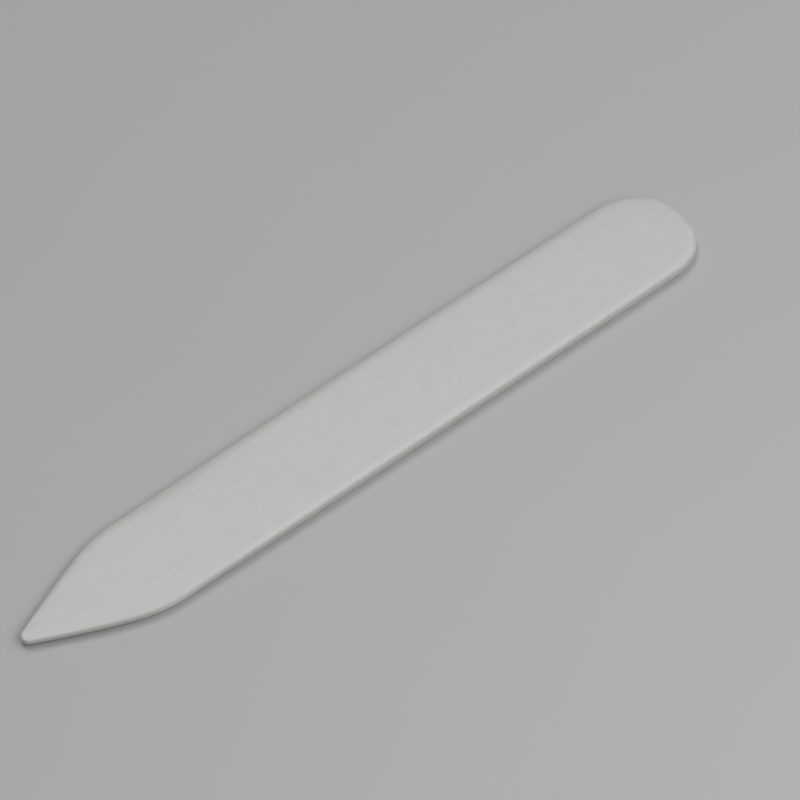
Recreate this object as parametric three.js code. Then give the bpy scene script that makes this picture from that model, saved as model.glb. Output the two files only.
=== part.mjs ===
// A bone folder, the hand tool that creases and smooths paper. It is one slip of bone, ground to
// a long flat blade with rounded edges, a thinned point at one end and a round end at the other.
//
// Millimetres, +Z up. The blade lies on its flat underside at z = 0, with its point towards -X.
// The origin is under the middle of its length. x in the sizes below is measured from the point.

import * as THREE from 'three';
import { LoftGeometry } from 'three/addons/geometries/LoftGeometry.js';

const length = 140;
const thickness = 2.5;
const crown = 0.25; // how far the top face falls from its middle to its edges

// The point is a small round nose, ground thinner on both faces.
const noseRadius = 1.4;
const noseSweep = THREE.MathUtils.degToRad(65); // how far the nose turns before each taper starts
const noseOffset = 0.35; // the nose sits a little to the +Y side
const noseThickness = 1.2;
const thinnedLength = 24;
const thinningPower = 1.5;

// The shoulders are where the two tapers turn into the long sides.
const shoulder = new THREE.Vector2(20.2, 9.4);

// The long sides bow out very slightly, to a full width of 20.
const sideBow = new THREE.Vector2(length / 2, 10.12);
const sideEndY = 9.98;

// The round end is fuller than a circle, and its crest sits a little to the +Y side.
const endOffset = 0.5;
const endFullness = 0.62;

// The two sides are hand-shaped, so they differ a little. The +Y edge is the softer one.
const nearSide = { sign: -1, shoulderRound: 5.2, endLength: 9.8, edgeRound: 0.9 };
const farSide = { sign: 1, shoulderRound: 4, endLength: 11, edgeRound: 1.8 };

// Both faces close on a spine along the middle, which stops short of the two ends, so that they
// fan out there. The powers say how suddenly the spine bunches up towards each end.
const spineFromTip = 3;
const spineFromEnd = 9;
const spineTipPower = 30;
const spineEndPower = 12;

// How finely each stretch of the outline, the rounded edge and the two faces are divided.
const steps = { nose: 6, taper: 9, shoulder: 8, side: 3, roundEnd: 8, edge: 6, top: 5, underside: 3 };

function stepTowards(from, to, distance) {
  return to.clone().sub(from).setLength(distance).add(from);
}

// One half of the outline, from the point to the round end, drawn on the positive side.
function halfOutline(side) {
  const noseCentre = new THREE.Vector2(noseRadius, side.sign * noseOffset);
  const nose = new THREE.EllipseCurve(
    noseCentre.x, noseCentre.y, noseRadius, noseRadius, Math.PI, Math.PI - noseSweep, true
  );

  const taperStart = nose.getPoint(1);
  const taperDirection = new THREE.Vector2(Math.sin(noseSweep), Math.cos(noseSweep));
  const taperReach = taperStart.distanceTo(shoulder) / 2;
  const taperControl = taperStart.clone().addScaledVector(taperDirection, taperReach);
  const taperEnd = stepTowards(shoulder, taperControl, side.shoulderRound);
  const taper = new THREE.QuadraticBezierCurve(taperStart, taperControl, taperEnd);

  const sideStart = stepTowards(shoulder, sideBow, side.shoulderRound);
  const sideEnd = new THREE.Vector2(length - side.endLength, sideEndY);
  const shoulderCurve = new THREE.QuadraticBezierCurve(taperEnd, shoulder, sideStart);
  const sideCurve = new THREE.QuadraticBezierCurve(sideStart, sideBow, sideEnd);

  const crest = new THREE.Vector2(length, side.sign * endOffset);
  const roundEnd = new THREE.CubicBezierCurve(
    sideEnd,
    stepTowards(sideEnd, sideBow, -endFullness * side.endLength),
    new THREE.Vector2(length, THREE.MathUtils.lerp(crest.y, sideEndY, endFullness)),
    crest
  );

  return [
    ...nose.getPoints(steps.nose),
    ...taper.getPoints(steps.taper).slice(1),
    ...shoulderCurve.getPoints(steps.shoulder).slice(1),
    ...sideCurve.getPoints(steps.side).slice(1),
    ...roundEnd.getPoints(steps.roundEnd).slice(1),
  ];
}

// The point of the spine that belongs to a rim point.
function spinePoint(x) {
  const nearTip = Math.pow(1 - x / length, spineTipPower);
  const nearEnd = Math.pow(x / length, spineEndPower);
  const y = noseOffset * (1 - x / length) + endOffset * (x / length);
  return new THREE.Vector2(x + spineFromTip * nearTip - spineFromEnd * nearEnd, y);
}

// The whole rim, counter-clockwise from the point, with what each of its points needs.
function rimPoints() {
  const near = halfOutline(nearSide);
  const far = halfOutline(farSide);
  const spine = near.map((point, index) => spinePoint((point.x + far[index].x) / 2));
  const onNear = near.map((point, index) => {
    return { rim: new THREE.Vector2(point.x, -point.y), spine: spine[index] };
  });
  const onFar = far.map((point, index) => ({ rim: point, spine: spine[index] }));
  const loop = [...onNear, ...onFar.slice(1, -1).reverse()];

  return loop.map((entry, index) => {
    const before = loop[(index + loop.length - 1) % loop.length].rim;
    const after = loop[(index + 1) % loop.length].rim;
    const along = after.clone().sub(before).normalize();
    const inward = new THREE.Vector2(-along.y, along.x);
    const edgeRound = THREE.MathUtils.mapLinear(inward.y, 1, -1, nearSide.edgeRound, farSide.edgeRound);
    return { ...entry, inward, edgeRound };
  });
}

// How much of the full thickness is left at a distance from the point.
function thinning(x) {
  const ground = Math.pow(Math.max(0, 1 - x / thinnedLength), thinningPower);
  return 1 - (1 - noseThickness / thickness) * ground;
}

// A point of the surface above (face 1) or below (face -1) a rim point. The angle turns around
// the rounded edge from 0 at the rim to a quarter turn, and share runs on from 0 to 1 at the spine.
function surfacePoint(entry, face, angle, share) {
  const reach = entry.rim.distanceTo(entry.spine);
  const edgeRound = entry.edgeRound * thinning(entry.rim.x);
  const edgeInset = edgeRound * (1 - Math.cos(angle));
  const place = entry.rim.clone().addScaledVector(entry.inward, edgeInset).lerp(entry.spine, share);

  const fromRim = (edgeInset + (reach - edgeInset) * share) / reach;
  const crownRise = face > 0 ? crown * (1 - Math.pow(1 - fromRim, 2)) : 0;
  const edgeRise = (thickness / 2 - (face > 0 ? crown : 0)) * Math.sin(angle);
  const height = thickness / 2 + face * thinning(place.x) * (edgeRise + crownRise);
  return new THREE.Vector3(place.x - length / 2, place.y, height);
}

// The blade is lofted through rings that run from the spine of the underside, out around the
// rounded edge, and in again to the spine of the top face.
function bladeGeometry() {
  const rim = rimPoints();
  const ring = (face, angle, share) => rim.map((entry) => surfacePoint(entry, face, angle, share));
  const quarterTurn = Math.PI / 2;
  const rings = [];
  for (let step = steps.underside; step > 0; step--) {
    rings.push(ring(-1, quarterTurn, step / steps.underside));
  }
  for (let step = steps.edge; step > 0; step--) {
    rings.push(ring(-1, (quarterTurn * step) / steps.edge, 0));
  }
  for (let step = 0; step <= steps.edge; step++) {
    rings.push(ring(1, (quarterTurn * step) / steps.edge, 0));
  }
  for (let step = 1; step <= steps.top; step++) {
    rings.push(ring(1, quarterTurn, step / steps.top));
  }
  return new LoftGeometry(rings);
}

const bone = new THREE.MeshStandardMaterial({ color: 0xe4e1d8, roughness: 0.42, metalness: 0 });

const blade = new THREE.Mesh(bladeGeometry(), bone);
blade.name = 'blade';

const boneFolder = new THREE.Group();
boneFolder.add(blade);

export default boneFolder;
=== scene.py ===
import math

import bmesh
import bpy
import numpy as np
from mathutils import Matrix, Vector


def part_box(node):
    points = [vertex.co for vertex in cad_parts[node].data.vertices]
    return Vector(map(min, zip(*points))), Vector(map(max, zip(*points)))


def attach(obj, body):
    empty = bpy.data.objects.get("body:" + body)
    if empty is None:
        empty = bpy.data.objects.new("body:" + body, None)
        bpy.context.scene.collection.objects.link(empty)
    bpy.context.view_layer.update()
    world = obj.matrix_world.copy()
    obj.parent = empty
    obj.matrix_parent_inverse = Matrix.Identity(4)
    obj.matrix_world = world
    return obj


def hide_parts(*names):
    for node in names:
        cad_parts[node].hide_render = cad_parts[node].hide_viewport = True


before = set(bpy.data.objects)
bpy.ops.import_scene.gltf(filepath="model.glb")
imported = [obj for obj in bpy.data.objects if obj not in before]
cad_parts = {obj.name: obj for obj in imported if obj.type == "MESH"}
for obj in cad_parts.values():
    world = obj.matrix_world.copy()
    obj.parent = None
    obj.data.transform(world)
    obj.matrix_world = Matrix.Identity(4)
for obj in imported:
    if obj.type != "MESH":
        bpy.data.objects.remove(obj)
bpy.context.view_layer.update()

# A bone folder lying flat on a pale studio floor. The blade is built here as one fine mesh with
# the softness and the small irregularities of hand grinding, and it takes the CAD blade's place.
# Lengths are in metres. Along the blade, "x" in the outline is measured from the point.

MM = 0.001

blade_low, blade_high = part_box("blade")
LENGTH = blade_high.x - blade_low.x
THICKNESS = blade_high.z - blade_low.z

# ---------------------------------------------------------------- the shape of the blade

CROWN = 0.25 * MM  # how far the top face falls from its middle to its edges

# The point: a small round nose, ground thinner on both faces.
NOSE_RADIUS = 1.4 * MM
NOSE_OFFSET = 0.36 * MM
NOSE_THICKNESS = 1.2 * MM
THINNED_LENGTH = 72 * MM
THINNING_POWER = 1.5

# The shoulders, the slight bow of the long sides, and the round end.
SHOULDER = np.array([20.36, 9.485]) * MM
SIDE_BOW = np.array([LENGTH / 2, 10.12 * MM])
SIDE_END_Y = 9.988 * MM
END_OFFSET = 0.69 * MM
END_FULLNESS = 0.62

# The two sides are hand-shaped, so they differ a little. The +Y edge is the softer one. The sweep
# is how far the nose turns before the side's taper starts.
NEAR_SIDE = {
    "sign": -1,
    "nose_sweep": math.radians(63.0),
    "shoulder_round": 4.7 * MM,
    "end_length": 9.8 * MM,
    "edge_round": 0.8 * MM,
}
FAR_SIDE = {
    "sign": 1,
    "nose_sweep": math.radians(65.6),
    "shoulder_round": 4.3 * MM,
    "end_length": 11.06 * MM,
    "edge_round": 2.6 * MM,
}

# At the nose the far edge is as crisp as the near one. Its softness comes in over about this far.
SOFTENING_LENGTH = 6 * MM

# Behind the far shoulder the edge has been ground, or worn, softer than elsewhere.
SOFT_SPOT_X = 35 * MM
SOFT_SPOT_LENGTH = 9 * MM
SOFT_SPOT_EXTRA = 1.6 * MM

# Painted shade, with some handling wear, darkens the edges, but less at the near shoulder and towards
# the near side's end.
LIGHTER_SHOULDER_X = 23 * MM
LIGHTER_SHOULDER_LENGTH = 5 * MM
LIGHTER_END_SHARE = 0.5
LIGHTER_END_POWER = 4

# Behind the near shoulder, a painted highlight brightens the arris between the edge and the top face.
# It fades in along the blade, and dies out over a few rings of the top face.
ARRIS_HIGHLIGHT_X = (22 * MM, 42 * MM)
ARRIS_HIGHLIGHT_RINGS = 3
ARRIS_HIGHLIGHT_POWER = 4

# The line that both faces close on stops short of the two ends. The powers say how quickly the
# points along it catch up with the rim.
SPINE_FROM_TIP = 3 * MM
SPINE_FROM_END = 9 * MM
SPINE_TIP_POWER = 30
SPINE_END_POWER = 12

# How finely the outline's stretches, the rounded edge and the faces are divided.
STEPS = {"nose": 14, "taper": 56, "shoulder": 40, "side": 150, "round_end": 64}
EDGE_STEPS = 14
TOP_STEPS = 34
UNDERSIDE_STEPS = 14

# Hand grinding leaves the faces and the sides slightly wavy. The foot that it rests on stays flat.
FACE_WAVE = 0.03 * MM
SIDE_WAVE = 0.03 * MM
WAVES = 9
WAVE_LENGTH = 5 * MM  # divides the wave's phase, so a whole ripple is several times longer
WAVE_SPREAD = (0.6, 1.2)  # how fast the waves change along the blade and across it
SIDE_WAVE_SEED = 1
FACE_WAVE_SEED = 2

SAME_POINT = 0.0001 * MM


def bezier(controls, steps):
    """steps points of a Bezier curve, from just after its start to its end."""
    t = (np.arange(1, steps + 1) / steps)[:, None]
    row = [np.broadcast_to(control, (steps, 2)) for control in controls]
    while len(row) > 1:
        row = [(1 - t) * a + t * b for a, b in zip(row, row[1:])]
    return row[0]


def step_towards(start, target, distance):
    way = target - start
    return start + way * (distance / np.hypot(*way))


def half_outline(side):
    """One half of the outline, from the point to the round end, drawn on the positive side."""
    nose_centre = np.array([NOSE_RADIUS, side["sign"] * NOSE_OFFSET])
    sweep = side["nose_sweep"]
    turn = sweep * np.arange(STEPS["nose"] + 1) / STEPS["nose"]
    nose = nose_centre + NOSE_RADIUS * np.stack([-np.cos(turn), np.sin(turn)], 1)

    taper_start = nose[-1]
    taper_direction = np.array([math.sin(sweep), math.cos(sweep)])
    taper_control = taper_start + taper_direction * np.hypot(*(SHOULDER - taper_start)) / 2
    taper_end = step_towards(SHOULDER, taper_control, side["shoulder_round"])
    side_start = step_towards(SHOULDER, SIDE_BOW, side["shoulder_round"])
    side_end = np.array([LENGTH - side["end_length"], SIDE_END_Y])
    crest = np.array([LENGTH, side["sign"] * END_OFFSET])
    end_handle = step_towards(side_end, SIDE_BOW, -END_FULLNESS * side["end_length"])
    crest_handle = crest + np.array([0, END_FULLNESS * (SIDE_END_Y - crest[1])])

    return np.vstack([
        nose,
        bezier([taper_start, taper_control, taper_end], STEPS["taper"]),
        bezier([taper_end, SHOULDER, side_start], STEPS["shoulder"]),
        bezier([side_start, SIDE_BOW, side_end], STEPS["side"]),
        bezier([side_end, end_handle, crest_handle, crest], STEPS["round_end"]),
    ])


def rim_and_spine():
    """The whole rim, counter-clockwise from the point, with the spine point, the inward
    direction and the edge rounding that belong to each rim point."""
    near, far = half_outline(NEAR_SIDE), half_outline(FAR_SIDE)
    x = (near[:, 0] + far[:, 0]) / 2
    along = x / LENGTH
    spine_x = x + SPINE_FROM_TIP * (1 - along) ** SPINE_TIP_POWER
    spine_x -= SPINE_FROM_END * along**SPINE_END_POWER
    spine = np.stack([spine_x, NOSE_OFFSET * (1 - along) + END_OFFSET * along], 1)
    rim = np.vstack([near * [1, -1], far[-2:0:-1]])
    spine = np.vstack([spine, spine[-2:0:-1]])
    tangent = np.roll(rim, -1, 0) - np.roll(rim, 1, 0)
    tangent /= np.hypot(tangent[:, 0], tangent[:, 1])[:, None]
    inward = np.stack([-tangent[:, 1], tangent[:, 0]], 1)
    towards_far = (1 - inward[:, 1]) / 2 * (1 - np.exp(-((rim[:, 0] / SOFTENING_LENGTH) ** 2)))
    edge_round = NEAR_SIDE["edge_round"] * (1 - towards_far) + FAR_SIDE["edge_round"] * towards_far
    soft_spot = np.exp(-(((rim[:, 0] - SOFT_SPOT_X) / SOFT_SPOT_LENGTH) ** 2))
    edge_round += SOFT_SPOT_EXTRA * soft_spot * towards_far
    return rim, spine, inward, edge_round


def thinning(x):
    """How much of the full thickness is left at a distance from the point."""
    ground = np.clip(1 - x / THINNED_LENGTH, 0, None) ** THINNING_POWER
    return 1 - (1 - NOSE_THICKNESS / THICKNESS) * ground


def ring(rim, spine, inward, edge_round, face, angle, share):
    """A ring of points on the top face (1) or the underside (-1). The angle turns around the
    rounded edge from 0 at the rim to a quarter turn, and share runs on from 0 to 1 at the spine."""
    reach = np.hypot(*(spine - rim).T)
    rounding = edge_round * thinning(rim[:, 0])
    inset = rounding * (1 - math.cos(angle))
    place = rim + inward * inset[:, None]
    place = place + (spine - place) * share
    from_rim = (inset + (reach - inset) * share) / reach
    crown_rise = CROWN * (1 - (1 - from_rim) ** 2) if face > 0 else 0
    edge_rise = (THICKNESS / 2 - (CROWN if face > 0 else 0)) * math.sin(angle)
    height = THICKNESS / 2 + face * thinning(place[:, 0]) * (edge_rise + crown_rise)
    return np.column_stack([place[:, 0] - LENGTH / 2, place[:, 1], height])


def darkening(rim, inward):
    """How much painted shade, with some handling wear, darkens each place around the edge, from 0 to
    1.
    """
    near = (1 + inward[:, 1]) / 2
    lighter_shoulder = near * np.exp(-(((rim[:, 0] - LIGHTER_SHOULDER_X) / LIGHTER_SHOULDER_LENGTH) ** 2))
    lighter_end = near * LIGHTER_END_SHARE * (rim[:, 0] / LENGTH) ** LIGHTER_END_POWER
    return (1 - lighter_shoulder) * (1 - lighter_end)


def arris_highlight_strength(rim, inward):
    """How strong the painted highlight is at each place along the top arris, from 0 to 1."""
    start, full = ARRIS_HIGHLIGHT_X
    near = (1 + inward[:, 1]) / 2
    return near**ARRIS_HIGHLIGHT_POWER * np.clip((rim[:, 0] - start) / (full - start), 0, 1)


def waviness(points, seed):
    """Smooth, slow, seeded ripples in -1..1, as hand grinding leaves them."""
    random = np.random.default_rng(seed)
    total = np.zeros(len(points))
    for _ in range(WAVES):
        direction = random.normal(size=2) * WAVE_SPREAD
        total += np.sin(points[:, :2] @ direction / WAVE_LENGTH + random.uniform(0, 2 * math.pi))
    return total / WAVES


def blade_mesh():
    rim, spine, inward, edge_round = rim_and_spine()
    quarter = math.pi / 2
    levels = [(-1, quarter, step / UNDERSIDE_STEPS) for step in range(UNDERSIDE_STEPS, 0, -1)]
    levels += [(-1, quarter * step / EDGE_STEPS, 0) for step in range(EDGE_STEPS, 0, -1)]
    levels += [(1, quarter * step / EDGE_STEPS, 0) for step in range(EDGE_STEPS + 1)]
    levels += [(1, quarter, step / TOP_STEPS) for step in range(1, TOP_STEPS + 1)]
    rings = [ring(rim, spine, inward, edge_round, *level) for level in levels]
    # The rings round the edge carry the painted edge shade, with handling wear, strongest at the rim.
    wear_and_shade_by_ring = [math.cos(angle) ** 2 if share == 0 else 0.0 for _, angle, share in levels]
    # The top arris rings carry a painted highlight.
    arris = [
        math.sin(angle) ** ARRIS_HIGHLIGHT_POWER * max(0, 1 - share * TOP_STEPS / ARRIS_HIGHLIGHT_RINGS)
        if face > 0 else 0.0
        for face, angle, share in levels
    ]

    points = np.vstack(rings)
    out_to_side = points[:, 1] / points[:, 1].max()
    points[:, 1] -= SIDE_WAVE * (1 + waviness(points, SIDE_WAVE_SEED)) / 2 * out_to_side
    points[:, 2] -= FACE_WAVE * (1 + waviness(points, FACE_WAVE_SEED)) / 2 * points[:, 2] / THICKNESS
    around = len(rim)
    faces = []
    for level in range(len(rings) - 1):
        for i in range(around):
            j = (i + 1) % around
            low, high = level * around, (level + 1) * around
            faces.append((low + i, low + j, high + j, high + i))

    mesh = bpy.data.meshes.new("bone_blade")
    mesh.from_pydata(points.tolist(), [], faces)
    # These attributes hold the edges' painted shade and the near arris's painted highlight.
    shades = {
        "edge_wear_and_painted_shade": np.outer(wear_and_shade_by_ring, darkening(rim, inward)),
        "painted_arris_highlight": np.outer(arris, arris_highlight_strength(rim, inward)),
    }
    for name, values in shades.items():
        attribute = mesh.attributes.new(name, "FLOAT", "POINT")
        attribute.data.foreach_set("value", values.ravel().astype(np.float32))
    # The two halves of each face meet in doubled points along the spine, which become one.
    whole = bmesh.new()
    whole.from_mesh(mesh)
    bmesh.ops.remove_doubles(whole, verts=whole.verts, dist=SAME_POINT)
    whole.to_mesh(mesh)
    whole.free()
    mesh.shade_smooth()
    return mesh


def make_blade(material):
    blade = bpy.data.objects.new("bone_blade", blade_mesh())
    bpy.context.scene.collection.objects.link(blade)
    blade.data.materials.append(material)
    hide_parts("blade")
    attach(blade, "root")


# ---------------------------------------------------------------- materials


class Nodes:
    """A short way to build one material's node tree."""

    def __init__(self, name):
        self.material = bpy.data.materials.new(name)
        self.material.use_nodes = True
        self.tree = self.material.node_tree
        self.shader = self.tree.nodes["Principled BSDF"]

    def add(self, kind, settings=None, **inputs):
        node = self.tree.nodes.new(kind)
        for key, value in (settings or {}).items():
            setattr(node, key, value)
        for key, value in inputs.items():
            self.set(node.inputs[key.replace("_", " ")], value)
        return node

    def set(self, socket, value):
        if isinstance(value, bpy.types.NodeSocket):
            self.tree.links.new(value, socket)
        else:
            socket.default_value = value

    def math(self, operation, a, b):
        node = self.add("ShaderNodeMath", {"operation": operation})
        self.set(node.inputs[0], a)
        self.set(node.inputs[1], b)
        return node.outputs[0]

    def add_share(self, total, layer, share):
        """total plus a layer's value times its share."""
        return self.math("ADD", total, self.math("MULTIPLY", layer, share))

    def attribute(self, name):
        return self.add("ShaderNodeAttribute", {"attribute_name": name}).outputs["Fac"]

    def remap(self, value, low, high, to_low, to_high):
        """to_low where the value is low or less, to_high where it is high or more, smooth between."""
        node = self.add("ShaderNodeMapRange", {"interpolation_type": "SMOOTHSTEP"}, Value=value)
        ends = {"From Min": low, "From Max": high, "To Min": to_low, "To Max": to_high}
        for key, number in ends.items():
            node.inputs[key].default_value = number
        return node.outputs[0]

    def mix_colour(self, share, a, b):
        node = self.add("ShaderNodeMix", {"data_type": "RGBA"})
        self.set(node.inputs["Factor"], share)
        self.set(node.inputs["A"], a)
        self.set(node.inputs["B"], b)
        return node.outputs["Result"]

    def stretched(self, grain_size, turn=0.0):
        """Object coordinates, turned about Z, then divided by the size of one grain."""
        coordinates = self.add("ShaderNodeTexCoord").outputs["Object"]
        turned = self.add("ShaderNodeVectorRotate", {"rotation_type": "Z_AXIS"}, Vector=coordinates)
        turned.inputs["Angle"].default_value = turn
        mapping = self.add("ShaderNodeMapping", Vector=turned.outputs["Vector"])
        mapping.inputs["Scale"].default_value = [1 / size for size in grain_size]
        return mapping.outputs["Vector"]

    def noise(self, grain_size, detail, turn=0.0):
        node = self.add("ShaderNodeTexNoise", Vector=self.stretched(grain_size, turn))
        node.inputs["Scale"].default_value = 1.0
        node.inputs["Detail"].default_value = detail
        return node.outputs["Fac"]


# The few pores that are large enough to see: how far from the point, how far across, and size.
VISIBLE_PORES = (
    (33.2 * MM, 5.6 * MM, 0.20 * MM),
    (34.4 * MM, 1.8 * MM, 0.12 * MM),
    (63.3 * MM, 1.2 * MM, 0.13 * MM),
    (67.3 * MM, 2.2 * MM, 0.12 * MM),
    (131.0 * MM, 1.7 * MM, 0.14 * MM),
)

BONE_COOL = (0.762, 0.767, 0.774, 1)
BONE_WARM = (0.785, 0.778, 0.760, 1)
BONE_TIP = (0.752, 0.766, 0.793, 1)
BONE_FIBRE = (0.700, 0.690, 0.667, 1)
BONE_PORE = (0.33, 0.28, 0.21, 1)
# Edge colour: painted shade with some handling wear.
EDGE_WEAR_AND_SHADE_COLOUR = (0.630, 0.622, 0.608, 1)
# Arris colour: a painted highlight.
PAINTED_ARRIS_HIGHLIGHT = (0.845, 0.838, 0.822, 1)
LAYER_COLOURS = {
    "pores": BONE_PORE,
    "large_pores": BONE_PORE,
    "edge_wear_and_painted_shade": EDGE_WEAR_AND_SHADE_COLOUR,
    "painted_arris_highlight": PAINTED_ARRIS_HIGHLIGHT,
}
COOL_TIP_LENGTH = 12 * MM

# The size of one blotch, fibre, scratch or pore: along the blade, across it and up.
CLOUD = (14 * MM, 5.5 * MM, 5.5 * MM)
MOTTLE = (3.6 * MM, 1.5 * MM, 1.5 * MM)
FIBRE = (3.4 * MM, 0.24 * MM, 0.24 * MM)
FINE_FIBRE = (1.3 * MM, 0.10 * MM, 0.10 * MM)
SANDING = (5 * MM, 0.05 * MM, 0.05 * MM)
SCUFF = (9 * MM, 0.35 * MM, 0.35 * MM)
PORE_CELL = (1.5 * MM, 0.46 * MM, 0.46 * MM)
PORE_FIELD = (10 * MM, 3.5 * MM, 3.5 * MM)
SCUFF_TURN = math.radians(24)

# The levels of its noise or distance between which a layer comes in.
CLOUD_RANGE = (0.32, 0.68)
FIBRE_RANGES = {"mottle": (0.35, 0.75), "fibre": (0.30, 0.75), "fine_fibre": (0.2, 0.8)}
POLISH_RANGE = (0.2, 0.8)
SCUFF_RANGE = (0.45, 0.70)
PORE_RANGE = (0.06, 0.19)
PORE_FIELD_RANGE = (0.46, 0.64)

# How much of its own colour each layer brings, where it is strongest.
TINT = {
    "tip": 0.9,
    "mottle": 0.30,
    "fibre": 0.34,
    "fine_fibre": 0.22,
    "pores": 0.40,
    "large_pores": 0.8,
    "edge_wear_and_painted_shade": 0.95,
    "painted_arris_highlight": 0.6,
}

# The roughness of the ground, from its smoothest to its roughest, and what the layers add to it.
ROUGHNESS = (0.40, 0.47)
ROUGHNESS_OF_SCUFFS = 0.06
ROUGHNESS_OF_EDGES = -0.10
ROUGHNESS_OF_PORES = 0.15

# How high each layer stands, or how deep it goes, as shares of the relief's height.
RELIEF = {
    "fibre": 0.30,
    "mottle": 0.60,
    "fine_fibre": 0.15,
    "sanding": 0.10,
    "pores": -0.8,
    "large_pores": -4.0,
}
RELIEF_HEIGHT = 0.012 * MM
RELIEF_STRENGTH = 0.5

BONE_IOR = 1.54
GLOW_WEIGHT = 0.25  # how much of the light that the bone sends back has passed through it
GLOW_DEPTH = 0.8 * MM
GLOW_SHARES = (1.0, 0.85, 0.65)  # of that depth, for red, green and blue light


def visible_pores(n):
    """1 at the middle of each of the larger pores, falling to 0 at its edge."""
    coordinates = n.add("ShaderNodeTexCoord").outputs["Object"]
    pores = 0.0
    for from_tip, across, size in VISIBLE_PORES:
        away = n.add("ShaderNodeVectorMath", {"operation": "DISTANCE"})
        n.set(away.inputs[0], coordinates)
        n.set(away.inputs[1], (from_tip - LENGTH / 2, across, THICKNESS))
        pores = n.math("MAXIMUM", n.remap(away.outputs["Value"], 0.0, size, 1.0, 0.0), pores)
    return pores


def fine_pores(n):
    """1 inside the short fine pores, which lie along the blade and gather in fields."""
    cells = n.add("ShaderNodeTexVoronoi", {"feature": "F1"}, Vector=n.stretched(PORE_CELL))
    cells.inputs["Scale"].default_value = 1.0
    in_pore = n.remap(cells.outputs["Distance"], *PORE_RANGE, 1.0, 0.0)
    in_field = n.remap(n.noise(PORE_FIELD, detail=1.0), *PORE_FIELD_RANGE, 0.0, 1.0)
    return n.math("MULTIPLY", in_pore, in_field)


def bone_material():
    """Satin bone: an off-white ground with faint fibres along its length, slow clouding, short
    pores, fine sanding marks, edges darkened by painted shade and handling wear and polished, and a
    painted highlight on the near arris."""
    n = Nodes("bone")
    cloud = n.remap(n.noise(CLOUD, detail=2.0), *CLOUD_RANGE, 0.0, 1.0)
    scuff = n.noise(SCUFF, detail=2.0, turn=SCUFF_TURN)
    coordinates = n.add("ShaderNodeTexCoord").outputs["Object"]
    along = n.add("ShaderNodeSeparateXYZ", Vector=coordinates).outputs["X"]
    layers = {
        "mottle": n.noise(MOTTLE, detail=2.0),
        "fibre": n.noise(FIBRE, detail=3.0),
        "fine_fibre": n.noise(FINE_FIBRE, detail=2.0),
        "sanding": n.noise(SANDING, detail=1.0),
        "pores": fine_pores(n),
        "large_pores": visible_pores(n),
        # Painted edge shade, with some handling wear.
        "edge_wear_and_painted_shade": n.attribute("edge_wear_and_painted_shade"),
        # A painted highlight along the near arris.
        "painted_arris_highlight": n.attribute("painted_arris_highlight"),
    }

    ground = n.mix_colour(cloud, BONE_COOL, BONE_WARM)
    at_tip = n.remap(along, -LENGTH / 2, -LENGTH / 2 + COOL_TIP_LENGTH, TINT["tip"], 0.0)
    ground = n.mix_colour(at_tip, ground, BONE_TIP)
    for layer, fibre_range in FIBRE_RANGES.items():
        strength = n.remap(layers[layer], *fibre_range, 0.0, TINT[layer])
        ground = n.mix_colour(strength, ground, BONE_FIBRE)
    # Pores darken with their own colour. The edge layer paints shade and the arris layer paints a
    # highlight.
    for layer, colour in LAYER_COLOURS.items():
        ground = n.mix_colour(n.math("MULTIPLY", layers[layer], TINT[layer]), ground, colour)
    n.set(n.shader.inputs["Base Color"], ground)

    roughness = n.remap(layers["fibre"], *POLISH_RANGE, *ROUGHNESS)
    scuffing = n.remap(scuff, *SCUFF_RANGE, 0.0, ROUGHNESS_OF_SCUFFS)
    roughness = n.math("ADD", roughness, scuffing)
    roughness = n.add_share(roughness, layers["edge_wear_and_painted_shade"], ROUGHNESS_OF_EDGES)
    roughness = n.add_share(roughness, layers["pores"], ROUGHNESS_OF_PORES)
    n.set(n.shader.inputs["Roughness"], roughness)

    relief = 0.0
    for layer, share in RELIEF.items():
        relief = n.add_share(relief, layers[layer], share)
    bump = n.add("ShaderNodeBump", Height=relief)
    bump.inputs["Strength"].default_value = RELIEF_STRENGTH
    bump.inputs["Distance"].default_value = RELIEF_HEIGHT
    n.set(n.shader.inputs["Normal"], bump.outputs["Normal"])

    n.shader.inputs["IOR"].default_value = BONE_IOR
    n.shader.inputs["Subsurface Weight"].default_value = GLOW_WEIGHT
    n.shader.inputs["Subsurface Radius"].default_value = GLOW_SHARES
    n.shader.inputs["Subsurface Scale"].default_value = GLOW_DEPTH
    return n.material


FLOOR_SHADES = ((0.61, 0.61, 0.61, 1), (0.63, 0.63, 0.63, 1))
FLOOR_CLOUD = (90 * MM, 90 * MM, 90 * MM)
FLOOR_ROUGHNESS = 0.85
FLOOR_GLOSS = 0.2


def floor_material():
    n = Nodes("pale_floor")
    tint = n.noise(FLOOR_CLOUD, detail=2.0)
    n.set(n.shader.inputs["Base Color"], n.mix_colour(tint, *FLOOR_SHADES))
    n.shader.inputs["Roughness"].default_value = FLOOR_ROUGHNESS
    n.shader.inputs["Specular IOR Level"].default_value = FLOOR_GLOSS
    return n.material


# ---------------------------------------------------------------- stage, lights and camera

FLOOR_GAP = 0.02 * MM
FLOOR_HALF = 3.0


def make_floor():
    mesh = bpy.data.meshes.new("floor")
    signs = ((-1, -1), (1, -1), (1, 1), (-1, 1))
    corners = [(x * FLOOR_HALF, y * FLOOR_HALF, -FLOOR_GAP) for x, y in signs]
    mesh.from_pydata(corners, [], [(0, 1, 2, 3)])
    floor = bpy.data.objects.new("floor", mesh)
    bpy.context.scene.collection.objects.link(floor)
    mesh.materials.append(floor_material())


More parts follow.
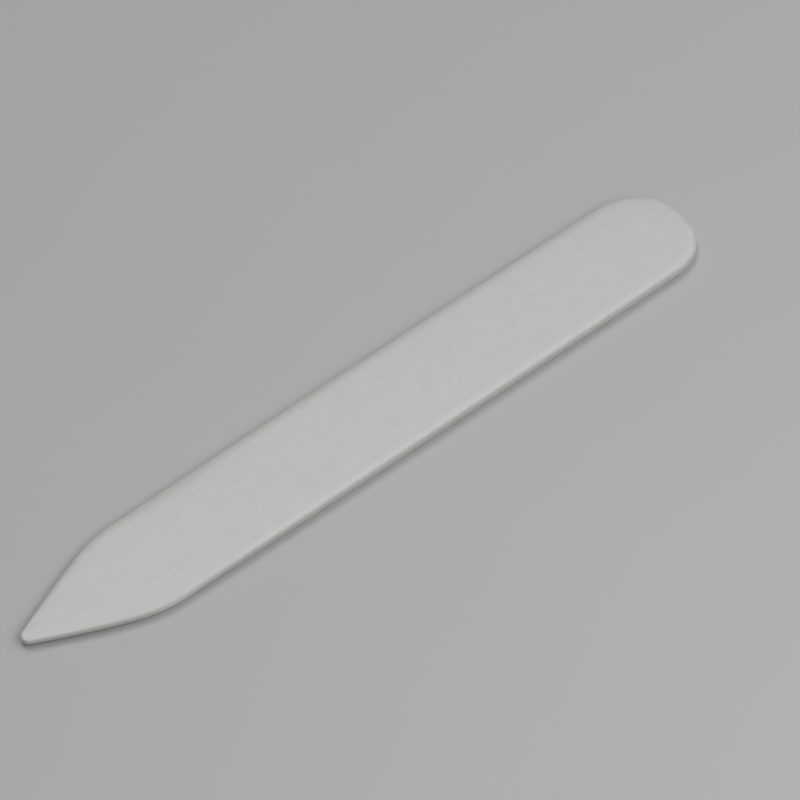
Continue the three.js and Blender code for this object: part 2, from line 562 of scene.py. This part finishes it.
def soft_box(name, direction, distance, size, power):
    """A square light that faces the middle of the blade."""
    light = bpy.data.lights.new(name, "AREA")
    light.shape = "SQUARE"
    light.size = size
    light.energy = power
    lamp = bpy.data.objects.new(name, light)
    bpy.context.scene.collection.objects.link(lamp)
    lamp.location = direction * distance
    lamp.rotation_euler = direction.to_track_quat("Z", "Y").to_euler()


# Soft boxes above the blade: which way each one lies, how far off, how wide it is and its watts.
SOFT_BOXES = {
    "top_box": ((0.12, 0.39, 0.885), 2.25, 1.25, 13.4),
    "front_box": ((0.0, -0.64, 0.77), 0.45, 0.3, 0.51),
    "end_box": ((0.58, -0.41, 0.71), 0.9, 0.5, 1.12),
}
ROOM_LIGHT = 0.16


def make_lights():
    for name, (direction, distance, size, power) in SOFT_BOXES.items():
        soft_box(name, Vector(direction).normalized(), distance, size, power)
    world = bpy.data.worlds.new("studio")
    world.use_nodes = True
    background = world.node_tree.nodes["Background"]
    background.inputs["Color"].default_value = (1, 1, 1, 1)
    background.inputs["Strength"].default_value = ROOM_LIGHT
    bpy.context.scene.world = world


# The camera stands round to the left of straight across the blade, and the picture's middle is
# to the right of the blade's middle and above it. The lens and the sensor are in millimetres.
VIEW_AZIMUTH = math.radians(40.18)
VIEW_ELEVATION = math.radians(50.8)
VIEW_DISTANCE = 553.2 * MM
VIEW_AIM = (5.20 * MM, 3.54 * MM)
LENS = 151.3
SENSOR_WIDTH = 36
NEAREST_SEEN = 10 * MM


def make_camera():
    back = Vector((
        -math.cos(VIEW_ELEVATION) * math.sin(VIEW_AZIMUTH),
        -math.cos(VIEW_ELEVATION) * math.cos(VIEW_AZIMUTH),
        math.sin(VIEW_ELEVATION),
    ))
    right = Vector((0, 0, 1)).cross(back).normalized()
    up = back.cross(right)
    camera_data = bpy.data.cameras.new("camera")
    camera_data.lens = LENS
    camera_data.sensor_width = SENSOR_WIDTH
    camera_data.clip_start = NEAREST_SEEN
    camera = bpy.data.objects.new("camera", camera_data)
    bpy.context.scene.collection.objects.link(camera)
    camera.location = back * VIEW_DISTANCE + right * VIEW_AIM[0] + up * VIEW_AIM[1]
    camera.rotation_euler = back.to_track_quat("Z", "Y").to_euler()
    bpy.context.scene.camera = camera


make_camera()
make_lights()
make_floor()
make_blade(bone_material())
bpy.context.scene.view_settings.view_transform = "Standard"

bpy.context.view_layer.update()
